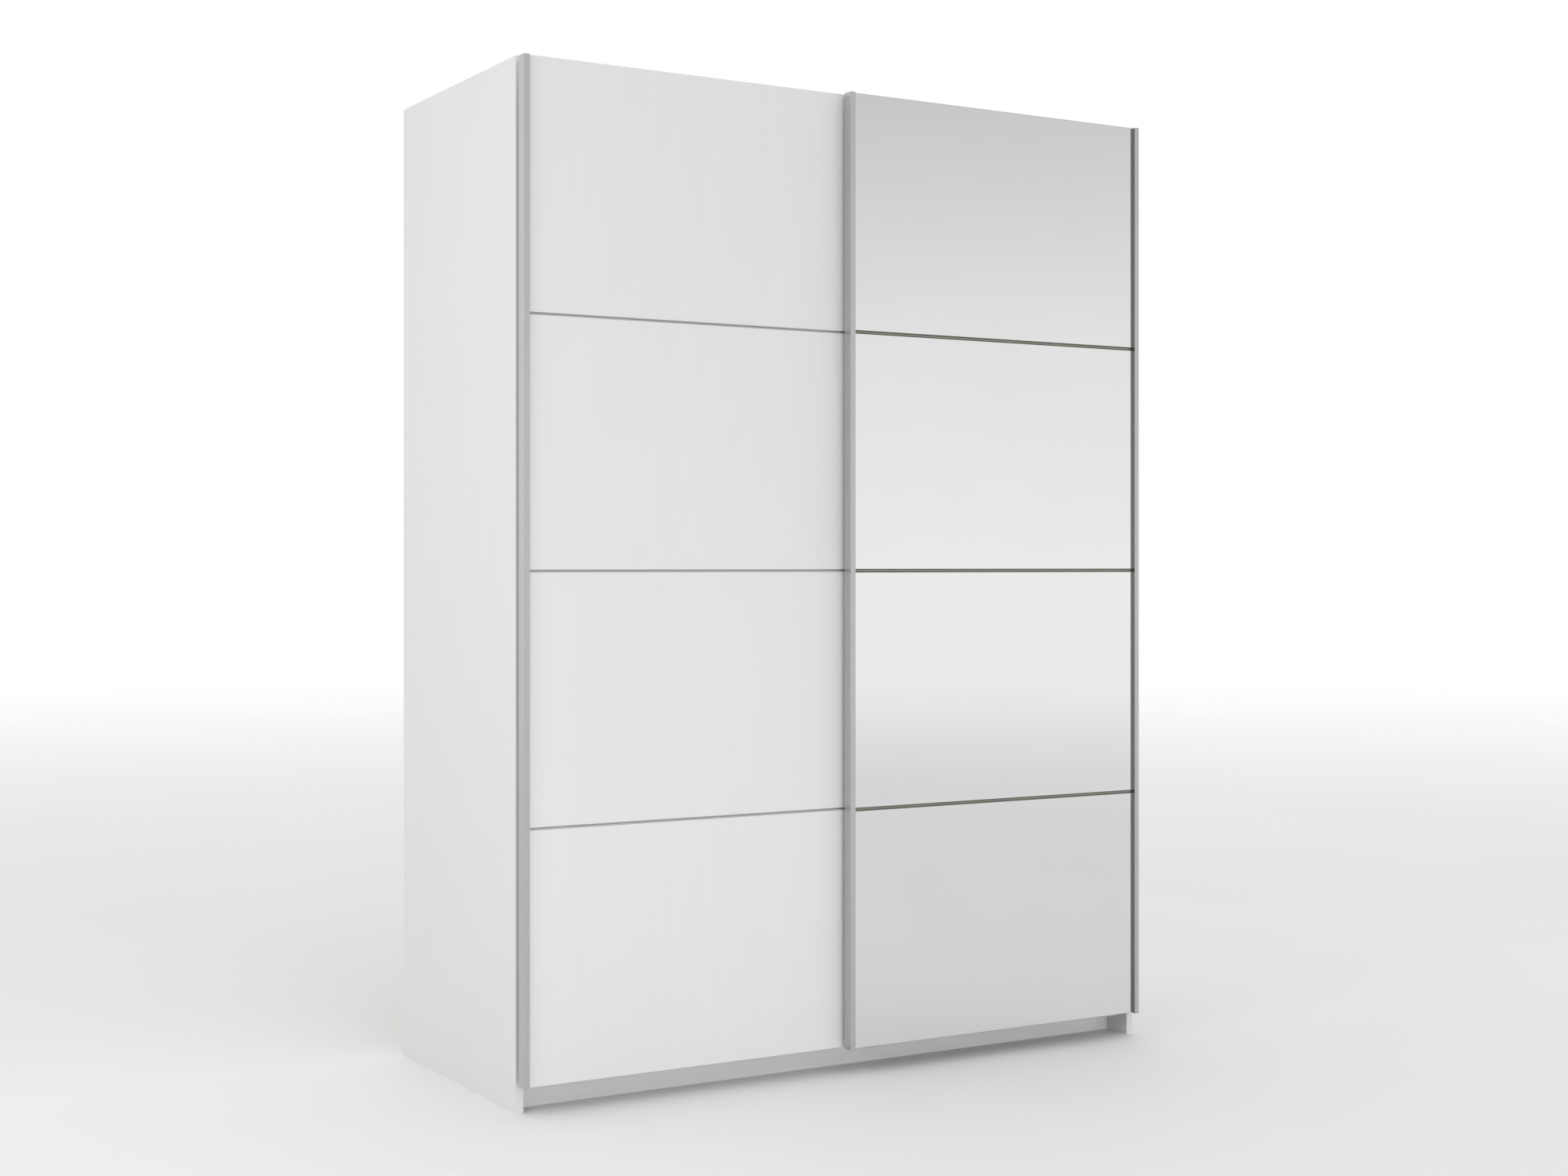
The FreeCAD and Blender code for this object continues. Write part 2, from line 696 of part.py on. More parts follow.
def axle(middle_x, lane):
    """A shoulder rivet that the roller turns on."""
    leg_y = lane - roller_width / 2 - leg_roller_gap
    roller_y = around(lane, roller_width / 2)

    def turned(radius, y_limits):
        start = FreeCAD.Vector(middle_x, y_limits[0], roller_z)
        return rod(radius, start, start + rear * (y_limits[1] - y_limits[0]))

    end_y = roller_y[1] + axle_play
    return fused([
        turned(axle_head_radius, (leg_y - sheet - axle_head, leg_y - sheet)),
        turned(axle_radius, (leg_y - sheet, end_y)),
        turned(axle_shoulder_radius, (leg_y, roller_y[0] - axle_play)),
        turned(axle_head_radius, (end_y, end_y + axle_head)),
    ])


def roller(middle_x, lane):
    """A grooved nylon wheel that straddles the rail's rib."""
    start = FreeCAD.Vector(middle_x, lane - roller_width / 2, roller_z)
    end = start + rear * roller_width
    groove_start = start + rear * ((roller_width - roller_groove_width) / 2)
    groove_end = groove_start + rear * roller_groove_width
    wheel = rod(roller_radius, start, end)
    core = rod(roller_groove_radius, groove_start, groove_end)
    groove = rod(roller_radius, groove_start, groove_end).cut(core)
    cutters = [groove, rod(roller_bore_radius, start, end)]
    for k in range(roller_eyes):
        spoke = FreeCAD.Rotation(rear, 360.0 * k / roller_eyes).multVec(up * roller_eye_circle)
        cutters.append(rod(roller_eye_radius, start + spoke, end + spoke))
    return wheel.cut(cutters)


def guide_foot(middle_x, plate_y, foot_z, lane):
    """A bent steel foot: plate on the door's back and an arm under the guide rail."""
    x_limits = around(middle_x, foot_half_width)
    plate = block(x_limits, (plate_y, plate_y + sheet), (foot_z, foot_plate_top_z))
    arm = block(x_limits, (plate_y, lane + foot_arm_overhang), (foot_z, foot_z + sheet))
    bent = rounded(fused([plate, arm]), sheet, lambda a, b: close(a.z, foot_z) and close(b.z, foot_z)
                   and close(a.y, plate_y) and close(b.y, plate_y))
    centre = FreeCAD.Vector(middle_x, lane, foot_z)
    return bent.cut(rod(pin_stem_radius + fit_gap, centre, centre + up * sheet))


def guide_pin(middle_x, foot_z, lane):
    """A nylon pin that runs in the guide rail's channel."""
    base = FreeCAD.Vector(middle_x, lane, foot_z)
    seat = base + up * sheet
    stem = rod(pin_stem_radius, base, seat)
    flange = rod(pin_flange_radius, seat, seat + up * pin_flange)
    pin = rod(pin_radius, seat, FreeCAD.Vector(middle_x, lane, pin_top_z))
    return fused([stem, flange, pin])


def door_hardware(name, door_x, board_rear_y, plate_bottom_z, arm_top_z, lane, foot_z, guide_lane):
    """Hangers, rollers, axles, feet, pins and screws of one door."""
    parts = {}
    screws = []
    axles = []
    pins = []
    for number, x in enumerate(roller_centres(door_x), 1):
        plate_name = f"{name}_door_hanger_{number}"
        parts[plate_name] = hanger(x, board_rear_y, plate_bottom_z, arm_top_z, lane)
        parts[f"{name}_roller_{number}"] = roller(x, lane)
        axles.append(axle(x, lane))
        low_z = plate_bottom_z + hanger_screw_inset
        for screw_x in around(x, hanger_screw_x):
            for z in (low_z, low_z + hanger_screw_pitch):
                top = FreeCAD.Vector(screw_x, board_rear_y + sheet, z)
                screw, hole = countersunk_screw(top, rear * -1, door_screw_length)
                screws.append(screw)
                drill(plate_name, hole)
                drill(f"{name}_door_board", hole)
    for number, x in enumerate((door_x[0] + foot_inset, door_x[1] - foot_inset), 1):
        foot_name = f"{name}_door_guide_foot_{number}"
        parts[foot_name] = guide_foot(x, board_rear_y, foot_z, guide_lane)
        pins.append(guide_pin(x, foot_z, guide_lane))
        for screw_x in around(x, foot_screw_x):
            top = FreeCAD.Vector(screw_x, board_rear_y + sheet, foot_screw_z)
            screw, hole = countersunk_screw(top, rear * -1, door_screw_length)
            screws.append(screw)
            drill(foot_name, hole)
            drill(f"{name}_door_board", hole)
    parts[f"{name}_door_axles"] = Part.makeCompound(axles)
    parts[f"{name}_door_guide_pins"] = Part.makeCompound(pins)
    parts[f"{name}_door_screws"] = Part.makeCompound(screws)
    return parts


def door_trim(name, door_x, face_y, strip_front_y, seat_y, face_height, strip_lift):
    """Handle profiles, their caps and the trim strips of one door."""
    parts = {}
    for side, (edge_x, inward) in zip(("left", "right"), profile_edges(door_x)):
        parts[f"{name}_door_{side}_profile"] = handle_profile(edge_x, inward, face_y)
    parts[f"{name}_door_profile_caps"] = profile_caps(door_x, face_y)
    for number, z in enumerate(strip_levels(), 1):
        parts[f"{name}_door_strip_{number}"] = trim_strip(door_x, z + strip_lift, strip_front_y, seat_y,
                                                          face_height)
    return parts


def plain_door():
    board_face_y = plain_face_y + profile_recess
    board_y = (board_face_y, board_face_y + board)
    seat_y = board_face_y + shadow_groove_depth
    strip_lift = (shadow_groove_height - plain_strip_height) / 2 - fit_gap
    parts = door_hardware("left", plain_door_x, board_y[1], plain_plate_bottom_z, plain_arm_z,
                          plain_lane_y, plain_foot_z, guide_lanes[0])
    parts.update(door_trim("left", plain_door_x, plain_face_y, board_face_y - strip_proud, seat_y,
                           plain_strip_height, strip_lift))
    parts["left_door_board"] = door_board(plain_door_x, board_y, seat_y, strip_lift)
    return parts


def mirror_door():
    glass_face_y = mirror_face_y + profile_recess
    board_y = (glass_face_y + mirror_thickness, glass_face_y + board)
    parts = door_hardware("right", mirror_door_x, board_y[1], mirror_plate_bottom_z, mirror_arm_z,
                          mirror_lane_y, mirror_foot_z, guide_lanes[1])
    parts.update(door_trim("right", mirror_door_x, mirror_face_y, glass_face_y + strip_sunk, board_y[0],
                           mirror_gap - 2 * strip_glass_gap, 0))
    parts["right_door_board"] = door_board(mirror_door_x, board_y, board_y[0], 0)
    for number, pane in enumerate(mirror_panes(mirror_door_x, (glass_face_y, board_y[0])), 1):
        parts[f"mirror_pane_{number}"] = pane
    return parts


# ---------------------------------------------------------------- assembly

def assemble():
    """Every node's shape by name, with the holes cut last."""
    lay_out_carcass_joints()
    lay_out_back_screws()
    parts = carcass_boards()
    parts.update(back_parts())
    parts.update(inside_fittings())
    parts["top_running_rail"] = running_rail()
    parts["bottom_guide_rail"] = guide_rail()
    parts["rail_stops"] = rail_stops()
    parts["wall_brackets"] = Part.makeCompound([wall_bracket(x) for x in around(0, wall_bracket_x)])
    parts.update(plain_door())
    parts.update(mirror_door())
    for name, cutters in holes.items():
        parts[name] = parts[name].cut(cutters)
    parts["cam_discs"] = Part.makeCompound(cams)
    parts["cam_bolts"] = Part.makeCompound(cam_bolts)
    parts["dowels"] = Part.makeCompound(dowels)
    parts["rail_screws"] = Part.makeCompound(rail_screws)
    parts["back_screws"] = Part.makeCompound(back_screws)
    return parts


os.makedirs("parts", exist_ok=True)
for node, shape in assemble().items():
    shape.exportStep(f"parts/{node}.step")
    print(node, len(shape.Solids), shape.isValid())
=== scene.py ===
"""Looks of the sliding door wardrobe: finishes, edge rounds, camera, floor and studio light. In metres."""
import json
import math

import bpy
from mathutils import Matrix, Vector

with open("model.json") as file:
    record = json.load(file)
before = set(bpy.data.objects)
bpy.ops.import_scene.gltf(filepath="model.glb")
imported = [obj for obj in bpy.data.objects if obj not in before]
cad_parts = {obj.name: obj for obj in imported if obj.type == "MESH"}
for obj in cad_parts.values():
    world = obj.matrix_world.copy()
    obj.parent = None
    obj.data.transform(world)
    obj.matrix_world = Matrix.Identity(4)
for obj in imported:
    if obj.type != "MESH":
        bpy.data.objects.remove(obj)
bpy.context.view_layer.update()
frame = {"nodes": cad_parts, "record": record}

# Camera: turned to the right in degrees, lens and sensor in millimetres, shift as a share of the width
CAMERA_AT = (-2.483, -4.215, 1.0577)
CAMERA_YAW = 30.57
CAMERA_LENS = 51.04
CAMERA_SHIFT_Y = -0.01455
SENSOR = 36.0

# Studio. The floor fades out between two distances from the wardrobe's middle.
FLOOR_FADE = (1.5, 16.0)
FLOOR_ROUGHNESS = 0.7
# Grey of the surroundings that the doors face, by height: 0 is the horizon and 1 is straight up
SKY_FRONT = ((0.0, 1.02), (0.10, 0.93), (0.21, 0.693), (0.40, 0.787), (1.0, 1.0))
# Along Y, the stretch where the surroundings turn from those greys to white
SKY_TURN = (-0.35, 0.25)
# Name, place, target, size, power in watts, spread in degrees
SOFTBOXES = (
    ("key_left", (-3.2, -1.2, 1.7), (-0.6, 0.0, 1.0), (1.4, 1.8), 7.0, 120.0),
    ("front_high", (-1.2, -4.5, 4.2), (-0.4, -0.3, 1.6), (3.0, 2.0), 13.5, 120.0),
    ("low_fill", (0.5, -9.0, 0.5), (0.1, -0.25, 0.3), (5.0, 0.6), 4.6, 24.0),
)

# Darkest and lightest colour of each finish
TONES = {
    "board": ((0.688, 0.691, 0.695), (0.735, 0.735, 0.735)),
    # The plinth's white is lighter than the board's: painted light that brightens it where it stands in
    # shade under the doors
    "plinth": ((0.79, 0.793, 0.797), (0.845, 0.845, 0.845)),
    "profile": ((0.494, 0.494, 0.499), (0.589, 0.589, 0.589)),
    # Dark tone painted on the mirror door profiles' faces beside the glass, as painted shade
    "painted_shade": ((0.18, 0.178, 0.169), (0.247, 0.244, 0.236)),
    "rail": ((0.56, 0.56, 0.565), (0.66, 0.66, 0.66)),
    # The plain door's strips are darker than the profiles: painted shade that deepens the shadow line
    # under them
    "plain_strip_painted_shade": ((0.35, 0.35, 0.355), (0.43, 0.43, 0.43)),
    # Dark olive tone of the mirror door's strips: painted shade of the gap between the mirror panes
    "painted_shade_strip": ((0.235, 0.230, 0.195), (0.320, 0.312, 0.268)),
    "mirror_edge": ((0.075, 0.095, 0.075), (0.14, 0.165, 0.13)),
    "mirror_face": ((0.796, 0.799, 0.798), (0.811, 0.814, 0.813)),
    "hardboard_outside": ((0.26, 0.165, 0.092), (0.40, 0.27, 0.16)),
    "hardboard_inside": ((0.75, 0.75, 0.755), (0.80, 0.80, 0.80)),
    "grey_plastic": ((0.36, 0.36, 0.365), (0.43, 0.43, 0.435)),
    "nylon": ((0.70, 0.69, 0.65), (0.78, 0.77, 0.74)),
    "rubber": ((0.018, 0.018, 0.018), (0.05, 0.05, 0.049)),
    "chrome": ((0.70, 0.71, 0.72), (0.78, 0.78, 0.79)),
    "beech": ((0.46, 0.30, 0.16), (0.66, 0.47, 0.28)),
    "zinc_alloy": ((0.40, 0.41, 0.43), (0.52, 0.53, 0.55)),
    "zinc_steel": ((0.52, 0.54, 0.56), (0.66, 0.68, 0.70)),
    "floor": ((0.785, 0.785, 0.785), (0.815, 0.815, 0.815)),
}

# Refractive indices. Rubber and bare wood are given the lacquer's.
LACQUER_IOR = 1.45
PLASTIC_IOR = 1.47
GLASS_IOR = 1.52

# Nearly all of a noise lies between these values
NOISE_LOW = 0.25
NOISE_HIGH = 0.75

# Radius of the edge rounds on the CAD nodes, by material slot
EDGE_ROUNDS = {
    "white_board": 0.0006,
    "mirror": 0.0007,
    "grey_plastic": 0.00025,
    "rubber": 0.0006,
    "zinc_steel": 0.00025,
}
EDGE_SEGMENTS = 2
# Points closer than this are joined, and edges that turn by more than this many degrees are rounded
WELD = 0.00001
SHARP_ANGLE = 35.0

ALONG_X, ALONG_Y, ALONG_Z = 0, 1, 2
FACES_LEFT, FACES_RIGHT = -1.0, 1.0

# Sockets of a Mix node for colours: its factor and two colours in, and its colour out
MIX_FACTOR, MIX_FIRST, MIX_SECOND = 0, 6, 7
MIX_RESULT = 2

# Material of each slot, and of the nodes that differ from the rest of their slot
SLOT_FINISH = {
    "white_board": "board_upright",
    "back_board": "back_board",
    "aluminium": "alu_upright",
    # The mirror door's strips take a dark tone that is painted shade
    "bronze_aluminium": "alu_painted_shade_strip",
    "mirror": "mirror_glass",
    "grey_plastic": "grey_plastic",
    "nylon": "nylon",
    "rubber": "rubber",
    "chrome": "chrome",
    "dowel_wood": "beech",
    "zinc_alloy": "zinc_alloy",
    "zinc_steel": "zinc_steel",
}
NODE_FINISH = {
    "top_panel": "board_level",
    "bottom_panel": "board_level",
    "left_hat_shelf": "board_level",
    "right_hat_shelf": "board_level",
    # The plinths take a lighter copy of the board, as painted light
    "front_plinth": "board_plinth_painted_light",
    "rear_plinth": "board_plinth_painted_light",
    "top_running_rail": "alu_level",
    "bottom_guide_rail": "alu_level",
    # The plain door's strips take a darker tone, as painted shade
    "left_door_strip_1": "alu_strip_painted_shade",
    "left_door_strip_2": "alu_strip_painted_shade",
    "left_door_strip_3": "alu_strip_painted_shade",
    # The mirror door's profiles get painted shade on their faces beside the glass
    "right_door_left_profile": "alu_painted_shade_left",
    "right_door_right_profile": "alu_painted_shade_right",
}


# ---------------------------------------------------------------- material helpers

def streaked(along, scale_along, scale_across):
    """Noise scales that draw a pattern out into streaks along one axis."""
    scales = [scale_across] * 3
    scales[along] = scale_along
    return scales


def even(scale):
    return (scale,) * 3


class Graph:
    """Builds one material's nodes around a Principled shader."""

    def __init__(self, name, **values):
        self.material = bpy.data.materials.new(name)
        self.material.use_nodes = True
        self.tree = self.material.node_tree
        self.shader = self.tree.nodes["Principled BSDF"]
        for key, value in values.items():
            self.shader.inputs[key].default_value = value
        self.place = self.node("ShaderNodeTexCoord").outputs["Object"]

    def node(self, kind, inputs=None, **settings):
        made = self.tree.nodes.new(kind)
        for key, value in settings.items():
            setattr(made, key, value)
        for key, value in (inputs or {}).items():
            if isinstance(value, bpy.types.NodeSocket):
                self.tree.links.new(value, made.inputs[key])
            else:
                made.inputs[key].default_value = value
        return made

    def scaled(self, scales):
        """Object coordinates multiplied by a scale along each axis."""
        return self.node("ShaderNodeMapping", {"Vector": self.place, "Scale": scales}).outputs[0]

    def noise(self, scales, detail=4.0, roughness=0.5):
        inputs = {"Vector": self.scaled(scales), "Scale": 1.0, "Detail": detail, "Roughness": roughness}
        return self.node("ShaderNodeTexNoise", inputs).outputs["Fac"]

    def cells(self, scale, output, **settings):
        """A pattern of small cells, for crystals and moulded grain."""
        inputs = {"Vector": self.scaled(even(scale)), "Scale": 1.0}
        return self.node("ShaderNodeTexVoronoi", inputs, **settings).outputs[output]

    def math(self, operation, first, second=0.0, third=0.0):
        return self.node("ShaderNodeMath", {0: first, 1: second, 2: third}, operation=operation).outputs[0]

    def weighted(self, first, share, second):
        """A share of the first value and the rest of the second."""
        return self.math("MULTIPLY_ADD", first, share, self.math("MULTIPLY", second, 1.0 - share))

    def spread(self, value, low, high):
        """A noise, spread so that most of it runs from low to high."""
        source = {"Value": value, "From Min": NOISE_LOW, "From Max": NOISE_HIGH}
        return self.node("ShaderNodeMapRange", {**source, "To Min": low, "To Max": high}).outputs["Result"]

    def blend(self, factor, first, second):
        """The first colour where the factor is 0, the second where it is 1."""
        made = self.node("ShaderNodeMix", {MIX_FACTOR: factor}, data_type="RGBA")
        for socket, value in ((MIX_FIRST, first), (MIX_SECOND, second)):
            if isinstance(value, bpy.types.NodeSocket):
                self.tree.links.new(value, made.inputs[socket])
            else:
                made.inputs[socket].default_value = (*value, 1.0)
        return made.outputs[MIX_RESULT]

    def tone(self, value, finish):
        """A noise, as a colour between a finish's darkest and lightest."""
        return self.blend(self.spread(value, 0.0, 1.0), *TONES[finish])

    def colour(self, value):
        self.tree.links.new(value, self.shader.inputs["Base Color"])

    def rough(self, value):
        self.tree.links.new(value, self.shader.inputs["Roughness"])

    def metal(self, value):
        self.tree.links.new(value, self.shader.inputs["Metallic"])

    def bump(self, height, distance, strength):
        inputs = {"Height": height, "Distance": distance, "Strength": strength}
        made = self.node("ShaderNodeBump", inputs)
        self.tree.links.new(made.outputs[0], self.shader.inputs["Normal"])

    def facing(self, axis):
        """How far the surface faces along an axis of the frame, from -1 to 1."""
        normal = self.node("ShaderNodeNewGeometry").outputs["True Normal"]
        return self.node("ShaderNodeSeparateXYZ", {0: normal}).outputs[axis]


# ---------------------------------------------------------------- materials

def white_board(name, along, finish):
    """Melamine-faced board: a faint grain that runs along one axis, over a fine pearl texture."""
    graph = Graph(name, IOR=LACQUER_IOR)
    fine = graph.noise(streaked(along, 9.0, 420.0), detail=3.0)
    coarse = graph.noise(streaked(along, 1.6, 55.0), detail=2.0)
    grain = graph.weighted(fine, 0.6, coarse)
    cloud = graph.noise(even(2.2), detail=2.0)
    pearl = graph.noise(even(900.0), detail=2.0)
    graph.colour(graph.tone(graph.weighted(grain, 0.7, cloud), finish))
    graph.rough(graph.spread(graph.weighted(pearl, 0.5, grain), 0.40, 0.52))
    graph.bump(graph.math("MULTIPLY_ADD", pearl, 0.5, grain), distance=0.00012, strength=0.35)
    return graph.material


def aluminium(name, along, finish, shade_side=None):
    """Anodised extrusion: drawn lines along its length and a soft satin.

    On the mirror door's profiles, the faces that look towards the glass take a dark tone: painted shade.
    """
    graph = Graph(name, Metallic=1.0, Anisotropic=0.35)
    fine = graph.noise(streaked(along, 5.0, 3800.0), detail=2.0)
    coarse = graph.noise(streaked(along, 2.0, 600.0), detail=2.0)
    lines = graph.weighted(fine, 0.55, coarse)
    handled = graph.noise((6.0, 6.0, 3.0), detail=3.0)
    tone = graph.tone(lines, finish)
    if shade_side:
        # Painted shade: the faces that look towards the glass get a dark tone
        shade_mask = graph.math("GREATER_THAN", graph.math("MULTIPLY", graph.facing(ALONG_X), shade_side), 0.7)
        tone = graph.blend(shade_mask, tone, graph.tone(lines, "painted_shade"))
    graph.colour(tone)
    graph.rough(graph.math("ADD", graph.spread(lines, 0.30, 0.40), graph.spread(handled, -0.03, 0.03)))
    graph.bump(lines, distance=0.00004, strength=0.5)
    return graph.material


def mirror_glass(name):
    """Silvered float glass. Its cut edges are dark bottle green."""
    graph = Graph(name, IOR=GLASS_IOR)
    flat = graph.math("GREATER_THAN", graph.math("ABSOLUTE", graph.facing(ALONG_Y)), 0.9)
    cut_edge = graph.math("SUBTRACT", 1.0, flat)
    film = graph.noise(even(5.0))
    grinding = graph.noise(even(160.0), detail=3.0)
    graph.colour(graph.blend(flat, graph.tone(grinding, "mirror_edge"), graph.tone(film, "mirror_face")))
    graph.metal(flat)
    haze = graph.math("MULTIPLY", flat, graph.spread(film, 0.004, 0.016))
    polish = graph.math("MULTIPLY", cut_edge, graph.spread(grinding, 0.12, 0.30))
    graph.rough(graph.math("ADD", haze, polish))
    return graph.material


def back_board(name):
    """Thin hardboard: lacquered white inside, bare brown fibre outside."""
    graph = Graph(name, IOR=LACQUER_IOR)
    outside = graph.math("GREATER_THAN", graph.facing(ALONG_Y), 0.5)
    fibre = graph.noise(even(700.0), detail=6.0, roughness=0.7)
    mottle = graph.noise(even(30.0))
    brown = graph.tone(graph.weighted(fibre, 0.65, mottle), "hardboard_outside")
    graph.colour(graph.blend(outside, graph.tone(mottle, "hardboard_inside"), brown))
    graph.rough(graph.math("MULTIPLY_ADD", outside, 0.35, graph.spread(fibre, 0.40, 0.50)))
    graph.bump(fibre, distance=0.0002, strength=0.4)
    return graph.material


def grained_plastic(name, roughness):
    """Moulded plastic with a spark-eroded grain."""
    graph = Graph(name, IOR=PLASTIC_IOR)
    grain = graph.cells(2600.0, "Distance", feature="SMOOTH_F1")
    wear = graph.noise(even(60.0), detail=3.0)
    graph.colour(graph.tone(wear, name))
    worn = graph.spread(wear, roughness - 0.05, roughness + 0.05)
    graph.rough(graph.math("ADD", graph.spread(grain, -0.04, 0.04), worn))
    graph.bump(grain, distance=0.00005, strength=0.5)
    return graph.material


def plated_steel(name, roughness, crystal_scale):
    """Bright zinc on steel: cloudy crystals and rolled-in scratches."""
    graph = Graph(name, Metallic=1.0)
    crystals = graph.cells(crystal_scale, "Color")
    tone = graph.weighted(crystals, 0.5, graph.noise(even(90.0)))
    scratches = graph.noise(streaked(ALONG_X, 2500.0, 120.0), detail=3.0, roughness=0.7)
    graph.colour(graph.tone(tone, name))
    cloudy = graph.spread(tone, roughness - 0.06, roughness + 0.06)
    graph.rough(graph.math("ADD", cloudy, graph.spread(scratches, -0.03, 0.03)))
    graph.bump(scratches, distance=0.00003, strength=0.4)
    return graph.material


def chrome_tube(name):
    """Bright plated tube with faint polishing lines along X."""
    graph = Graph(name, Metallic=1.0)
    lines = graph.noise(streaked(ALONG_X, 4.0, 2600.0), detail=3.0)
    haze = graph.noise(even(14.0), detail=3.0)
    graph.colour(graph.tone(haze, name))
    graph.rough(graph.math("ADD", graph.spread(lines, 0.05, 0.12), graph.spread(haze, -0.02, 0.04)))
    graph.bump(lines, distance=0.00002, strength=0.3)
    return graph.material


def soft_rubber(name):
    """Black rubber with a dull bloom."""
    graph = Graph(name, IOR=LACQUER_IOR)
    bloom = graph.noise(even(140.0), detail=5.0, roughness=0.65)
    graph.colour(graph.tone(bloom, name))
    graph.rough(graph.spread(bloom, 0.70, 0.88))
    graph.bump(bloom, distance=0.0001, strength=0.5)
    return graph.material


def bare_beech(name):
    """Unfinished beech with its rays along X."""
    graph = Graph(name, IOR=LACQUER_IOR)
    rays = graph.noise(streaked(ALONG_X, 60.0, 900.0), detail=5.0, roughness=0.7)
    graph.colour(graph.tone(rays, name))
    graph.rough(graph.spread(rays, 0.55, 0.75))
    graph.bump(rays, distance=0.0001, strength=0.5)
    return graph.material


def make_materials():
    """Every material, by the name asked for. Blender numbers one whose name the frame already uses."""
    recipes = {
        "board_upright": (white_board, ALONG_Z, "board"),
        "board_level": (white_board, ALONG_X, "board"),
        # Lighter copy of the board for the plinths: painted light
        "board_plinth_painted_light": (white_board, ALONG_X, "plinth"),
        "alu_upright": (aluminium, ALONG_Z, "profile"),
        # Profiles with painted shade on their faces beside the glass
        "alu_painted_shade_left": (aluminium, ALONG_Z, "profile", FACES_RIGHT),
        "alu_painted_shade_right": (aluminium, ALONG_Z, "profile", FACES_LEFT),
        "alu_level": (aluminium, ALONG_X, "rail"),
        # Darker tone for the plain door's strips: painted shade
        "alu_strip_painted_shade": (aluminium, ALONG_X, "plain_strip_painted_shade"),
        # Dark tone for the mirror door's strips: painted shade
        "alu_painted_shade_strip": (aluminium, ALONG_X, "painted_shade_strip"),
        "mirror_glass": (mirror_glass,),
        "back_board": (back_board,),
        "grey_plastic": (grained_plastic, 0.45),
        "nylon": (grained_plastic, 0.38),
        "rubber": (soft_rubber,),
        "chrome": (chrome_tube,),
        "beech": (bare_beech,),
        "zinc_alloy": (plated_steel, 0.42, 900.0),
        "zinc_steel": (plated_steel, 0.30, 350.0),
    }
    return {name: recipe(name, *values) for name, (recipe, *values) in recipes.items()}


def round_edges(piece, radius):
    """Joins the imported facets and rounds the sharp edges."""
    weld = piece.modifiers.new("weld", "WELD")
    weld.merge_threshold = WELD
    bevel = piece.modifiers.new("edge_round", "BEVEL")
    bevel.width = radius
    bevel.segments = EDGE_SEGMENTS
    bevel.limit_method = "ANGLE"
    bevel.angle_limit = math.radians(SHARP_ANGLE)
    bevel.harden_normals = True


def finish_cad_nodes(materials):
    slots = {row["node"]: row["material_slot"] for row in frame["record"]["subparts"]}
    for node, piece in frame["nodes"].items():
        slot = slots[node]
        piece.data.materials.clear()
        piece.data.materials.append(materials[NODE_FINISH.get(node, SLOT_FINISH[slot])])
        if slot in EDGE_ROUNDS:
            round_edges(piece, EDGE_ROUNDS[slot])


# ---------------------------------------------------------------- studio

def add_camera():
    data = bpy.data.cameras.new("camera")
    data.sensor_width = SENSOR
    data.lens = CAMERA_LENS
    data.shift_y = CAMERA_SHIFT_Y
    camera = bpy.data.objects.new("camera", data)
    camera.location = CAMERA_AT
    camera.rotation_euler = (math.radians(90.0), 0.0, math.radians(-CAMERA_YAW))
    bpy.context.scene.collection.objects.link(camera)
    bpy.context.scene.camera = camera


def floor_material():
    """Pale matt floor that fades into the white surroundings with distance, so no horizon line shows."""
    graph = Graph("studio_floor", Roughness=FLOOR_ROUGHNESS)
    cloud = graph.noise(even(0.6), detail=3.0)
    graph.colour(graph.tone(cloud, "floor"))
    distance = graph.node("ShaderNodeVectorMath", {0: graph.place}, operation="LENGTH").outputs["Value"]
    inputs = {"Value": distance, "From Min": FLOOR_FADE[0], "From Max": FLOOR_FADE[1]}
    fade = graph.node("ShaderNodeMapRange", inputs, interpolation_type="SMOOTHSTEP").outputs["Result"]
    clear = graph.node("ShaderNodeBsdfTransparent").outputs[0]
    mixed = graph.node("ShaderNodeMixShader", {0: fade, 1: graph.shader.outputs[0], 2: clear}).outputs[0]
    graph.tree.links.new(mixed, graph.tree.nodes["Material Output"].inputs["Surface"])
    return graph.material


def add_floor():
    """A wide flat floor, as far as it fades."""
    half = FLOOR_FADE[1]
    corners = [(-half, -half, 0), (half, -half, 0), (half, half, 0), (-half, half, 0)]
    mesh = bpy.data.meshes.new("floor")
    mesh.from_pydata(corners, [], [(0, 1, 2, 3)])
    mesh.materials.append(floor_material())
    floor = bpy.data.objects.new("floor", mesh)
    bpy.context.scene.collection.objects.link(floor)


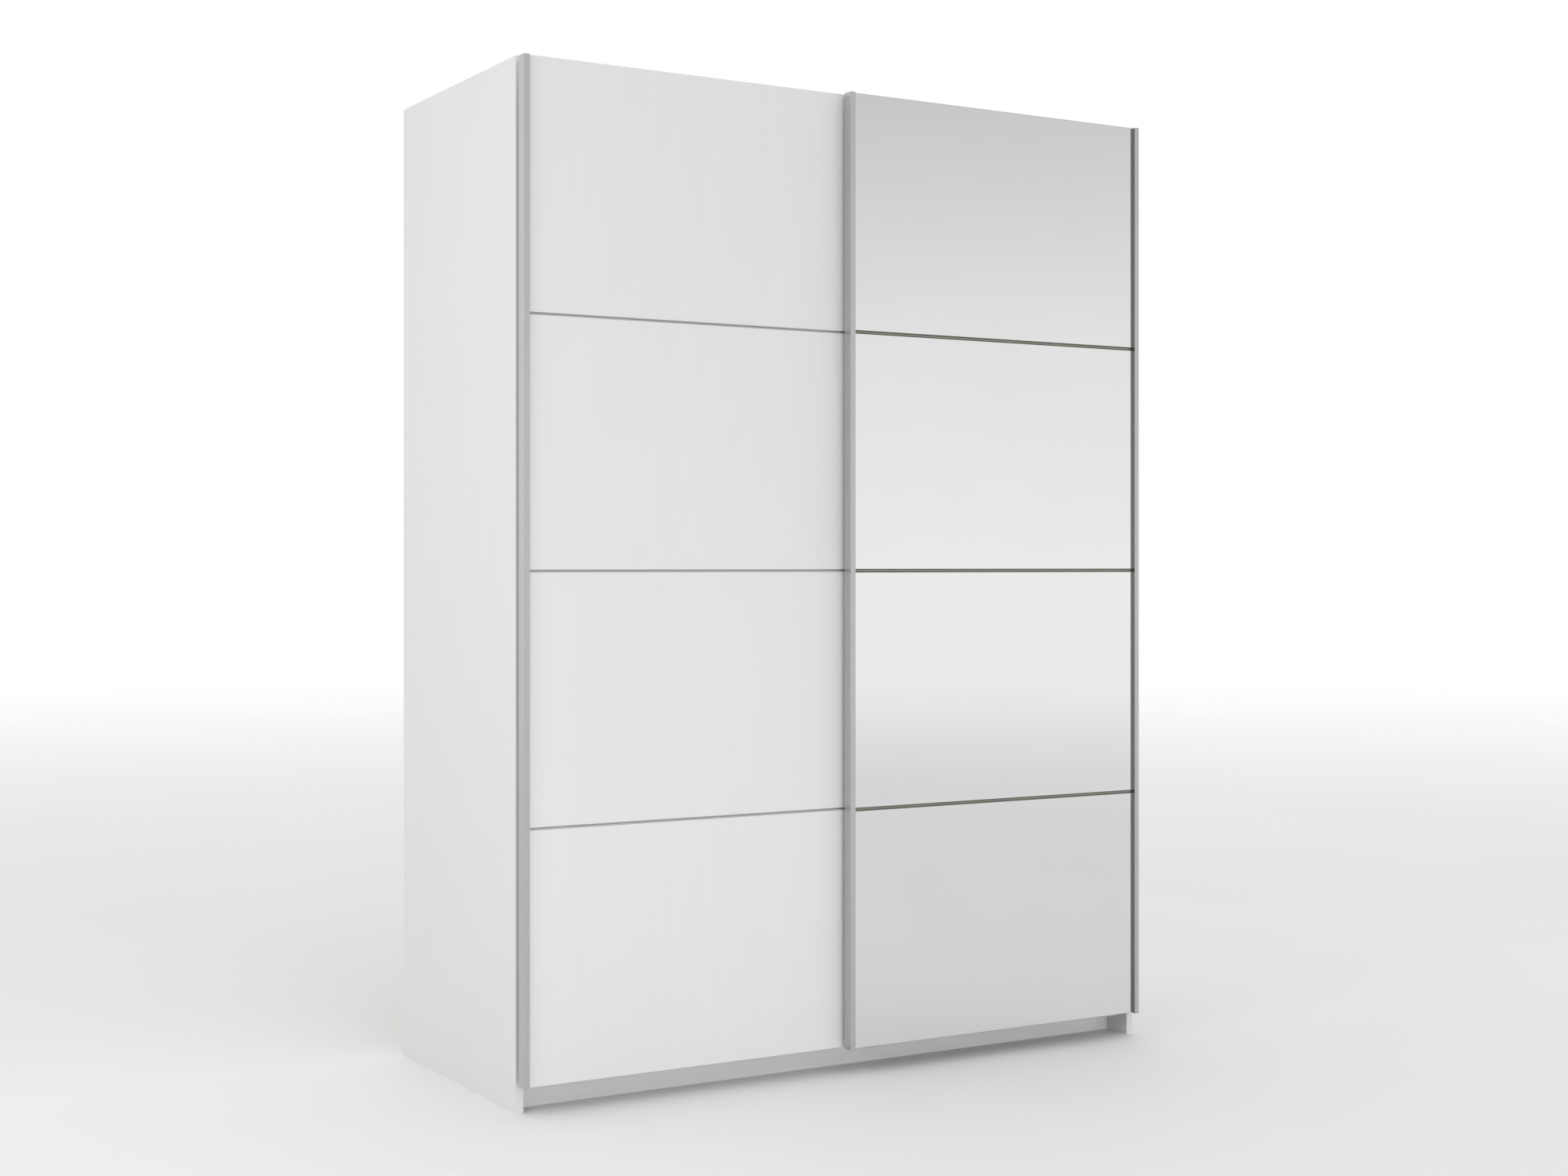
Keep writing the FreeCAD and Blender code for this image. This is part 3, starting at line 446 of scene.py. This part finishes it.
def add_softbox(name, at, target, size, power, spread):
    """A soft area light that lights the object but isn't itself seen, not even in the mirror."""
    data = bpy.data.lights.new(name, "AREA")
    data.shape = "RECTANGLE"
    data.size, data.size_y = size
    data.energy = power
    data.spread = math.radians(spread)
    light = bpy.data.objects.new(name, data)
    light.location = at
    light.rotation_mode = "QUATERNION"
    light.rotation_quaternion = (Vector(target) - Vector(at)).to_track_quat("-Z", "Y")
    light.visible_camera = False
    light.visible_glossy = False
    bpy.context.scene.collection.objects.link(light)


def grey_ramp(tree, value, stops):
    """Greys that follow a value, between stops of place and grey."""
    made = tree.nodes.new("ShaderNodeValToRGB")
    tree.links.new(value, made.inputs[0])
    elements = made.color_ramp.elements
    while len(elements) < len(stops):
        elements.new(0.5)
    for element, (place, grey) in zip(elements, stops):
        element.position = place
        element.color = (grey, grey, grey, 1.0)
    return made.outputs[0]


def add_world():
    """A white studio, with a gradient on the side that the doors face for the mirror to show."""
    world = bpy.data.worlds.new("studio")
    bpy.context.scene.world = world
    world.use_nodes = True
    tree = world.node_tree
    direction = tree.nodes.new("ShaderNodeTexCoord").outputs["Generated"]
    split = tree.nodes.new("ShaderNodeSeparateXYZ")
    tree.links.new(direction, split.inputs[0])
    turn = tree.nodes.new("ShaderNodeMapRange")
    turn.interpolation_type = "SMOOTHSTEP"
    turn.inputs["From Min"].default_value = SKY_TURN[0]
    turn.inputs["From Max"].default_value = SKY_TURN[1]
    tree.links.new(split.outputs["Y"], turn.inputs["Value"])
    sky = tree.nodes.new("ShaderNodeMix")
    sky.data_type = "RGBA"
    tree.links.new(turn.outputs["Result"], sky.inputs[MIX_FACTOR])
    tree.links.new(grey_ramp(tree, split.outputs["Z"], SKY_FRONT), sky.inputs[MIX_FIRST])
    sky.inputs[MIX_SECOND].default_value = (1.0, 1.0, 1.0, 1.0)
    background = tree.nodes["Background"]
    tree.links.new(sky.outputs[MIX_RESULT], background.inputs["Color"])
    background.inputs["Strength"].default_value = 1.0


# ---------------------------------------------------------------- scene

finish_cad_nodes(make_materials())
add_camera()
add_floor()
add_world()
for softbox in SOFTBOXES:
    add_softbox(*softbox)
bpy.context.scene.view_settings.view_transform = "Standard"
